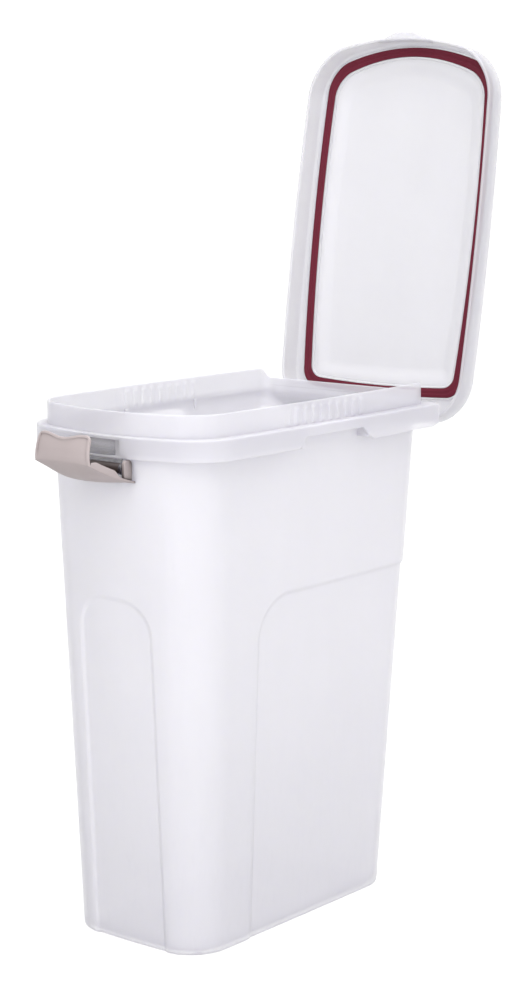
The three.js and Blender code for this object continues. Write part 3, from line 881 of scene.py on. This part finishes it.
def taupe_plastic():
    shader = Shader("taupe_plastic")
    cloud = shader.noise(40, 4, 0.6)
    colour = shader.blend(cloud, (0.40, 0.345, 0.34), (0.45, 0.39, 0.385))
    # Painted shade: the latch is darker in its hollows and along its creases, where less light reaches.
    shelter = shader.remap(shader.openness(0.045), 0.35, 0.85, 1, 0)
    crevice = shader.remap(shader.openness(0.0035), 0.55, 0.9, 1, 0)
    colour = shader.blend(shader.math("MULTIPLY", crevice, 0.75), colour, (0.12, 0.085, 0.08))
    # Painted shadow: the hinge bar between the lugs is painted near black, as the latch shades it.
    bar_shadow_area = shader.inside_box((-36.6, -236.5, 534), (36.6, -222, 548))
    dark = (0.035, 0.022, 0.02)
    colour = shader.blend(shader.math("MULTIPLY", bar_shadow_area, 0.9), colour, dark)
    shader.use("Base Color", shader.blend(shelter, colour, dark))
    shader.use("Roughness", shader.remap(shader.noise(90, 4), 0.3, 0.7, 0.38, 0.5))
    shader.set(IOR=1.5)
    shader.bump(shader.noise(500, 3, 0.6), 0.2, 0.0001)
    return shader.material


def seal_rubber():
    shader = Shader("seal_rubber")
    cloud = shader.noise(60, 4, 0.6)
    shader.use("Base Color", shader.blend(cloud, (0.11, 0.006, 0.018), (0.15, 0.011, 0.03)))
    shader.use("Roughness", shader.remap(shader.noise(120, 3), 0.3, 0.7, 0.6, 0.75))
    shader.set(IOR=1.38)
    shader.bump(shader.noise(500, 3, 0.6), 0.3, 0.0001)
    return shader.material


def pale_floor():
    shader = Shader("pale_floor")
    shader.use("Base Color", shader.blend(shader.noise(3, 3), (0.97, 0.97, 0.97), (0.985, 0.985, 0.985)))
    shader.set(Roughness=0.9, Emission_Color=(1, 1, 1, 1), Emission_Strength=0.15, Alpha=0.35)
    return shader.material


# ------------------------------------------------------------------ stage

AMBIENT = 0.26
BACKDROP = 1.12
# Direction, start and end of the glow (cosines) and its strength
LIGHT_LOBES = (
    ((0.62, -0.77, 0.15), 0.0, 0.9, 1.02),
    ((0, 0, 1), 0.3, 1, 0.55),
    ((1, 0.4, 0.2), 0, 1, 0.17),
    ((-0.15, 1, 0.25), 0.1, 1, 0.32),
)
KEY_POWER, TOP_POWER = 16, 60
# The camera's place in metres, the way it looks, and its lens in millimetres
CAMERA_PLACE = (1.6613, -2.0072, 0.9137)
CAMERA_WAY = (-0.61964, 0.76704, -0.16643)
CAMERA_LENS = 83.66


def add_stage():
    bpy.ops.mesh.primitive_plane_add(size=60)
    floor = bpy.context.object
    floor.name = "studio_floor"
    floor.data.materials.append(pale_floor())


def add_area_light(name, place, target, size, power):
    light = bpy.data.lights.new(name, "AREA")
    light.shape = "RECTANGLE"
    light.size = light.size_y = size
    light.energy = power
    obj = bpy.data.objects.new(name, light)
    bpy.context.scene.collection.objects.link(obj)
    obj.location = place
    obj.rotation_euler = (Vector(target) - Vector(place)).to_track_quat("-Z", "Y").to_euler()


def add_world():
    """A white backdrop, lit softly from the front and above and less from the sides and behind."""
    world = bpy.data.worlds.new("studio")
    world.use_nodes = True
    nodes, links = world.node_tree.nodes, world.node_tree.links
    glow = nodes["Background"]
    glow.inputs["Color"].default_value = (0.99, 0.985, 1, 1)
    strength = None
    coords = nodes.new("ShaderNodeTexCoord")
    for direction, low, high, gain in LIGHT_LOBES:
        facing = nodes.new("ShaderNodeVectorMath")
        facing.operation = "DOT_PRODUCT"
        facing.inputs[1].default_value = Vector(direction).normalized()
        links.new(coords.outputs["Generated"], facing.inputs[0])
        ramp = nodes.new("ShaderNodeMapRange")
        ramp.interpolation_type = "SMOOTHSTEP"
        for socket, value in (("From Min", low), ("From Max", high), ("To Min", 0), ("To Max", gain)):
            ramp.inputs[socket].default_value = value
        links.new(facing.outputs["Value"], ramp.inputs["Value"])
        total = nodes.new("ShaderNodeMath")
        total.inputs[1].default_value = AMBIENT
        links.new(ramp.outputs["Result"], total.inputs[0])
        if strength:
            links.new(strength, total.inputs[1])
        strength = total.outputs["Value"]
    links.new(strength, glow.inputs["Strength"])
    backdrop = nodes.new("ShaderNodeBackground")
    backdrop.inputs["Strength"].default_value = BACKDROP
    backdrop.inputs["Color"].default_value = (1, 1, 1, 1)
    paths = nodes.new("ShaderNodeLightPath")
    choose = nodes.new("ShaderNodeMixShader")
    links.new(paths.outputs["Is Camera Ray"], choose.inputs["Fac"])
    links.new(glow.outputs["Background"], choose.inputs[1])
    links.new(backdrop.outputs["Background"], choose.inputs[2])
    links.new(choose.outputs["Shader"], nodes["World Output"].inputs["Surface"])
    bpy.context.scene.world = world


def add_lights():
    add_area_light("key", (1.6, -2.6, 2.6), (0, 0, 0.4), 1.2, KEY_POWER)
    add_area_light("top", (0, 0, 3.2), (0, 0, 0), 3.5, TOP_POWER)


def add_camera():
    camera = bpy.data.cameras.new("camera")
    camera.sensor_width = 36
    camera.lens = CAMERA_LENS
    camera.clip_end = 100
    obj = bpy.data.objects.new("camera", camera)
    bpy.context.scene.collection.objects.link(obj)
    obj.location = CAMERA_PLACE
    obj.rotation_euler = Vector(CAMERA_WAY).to_track_quat("-Z", "Y").to_euler()
    bpy.context.scene.camera = obj


# ------------------------------------------------------------------ assembly

def main():
    # The lid gets a darker copy of the same plastic, as painted shade.
    milky, shaded_milky = milky_plastic(rim_shade=0.3), milky_plastic(tone=0.86)
    taupe, rubber = taupe_plastic(), seal_rubber()
    pieces = [
        (make_tub(milky), "tub", "milky_plastic", "bin_tub"),
        (make_lid(shaded_milky), "lid", "milky_plastic", "lid"),
        (make_seal(rubber), "lid", "seal_rubber", "lid_seal"),
        (make_latch(taupe), "latch", "taupe_plastic", "latch"),
    ]
    for word, side in (("left", -1), ("right", 1)):
        middle = side * HINGE_MIDDLE
        lo, hi = middle - LUG_OUTER, middle + LUG_OUTER
        pin = make_pin(f"lid_pin_{word}", lo, hi, HINGE, HINGE_PIN, milky)
        pieces.append((pin, "tub", "pin_plastic", f"hinge_pin_{word}"))
        lo, hi = sorted((side * 34.2, side * 40))
        pin = make_pin(f"clip_pin_{word}", lo, hi, PIVOT, LATCH_PIN, milky)
        pieces.append((pin, "tub", "pin_plastic", f"latch_pin_{word}"))
    for piece, body, slot, node in pieces:
        finish_shading(piece)
        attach(piece, body)
        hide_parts(node)
    add_stage()
    add_world()
    add_lights()
    add_camera()
    bpy.context.scene.cycles.transparent_max_bounces = 32
    bpy.context.scene.view_settings.view_transform = "Standard"


main()
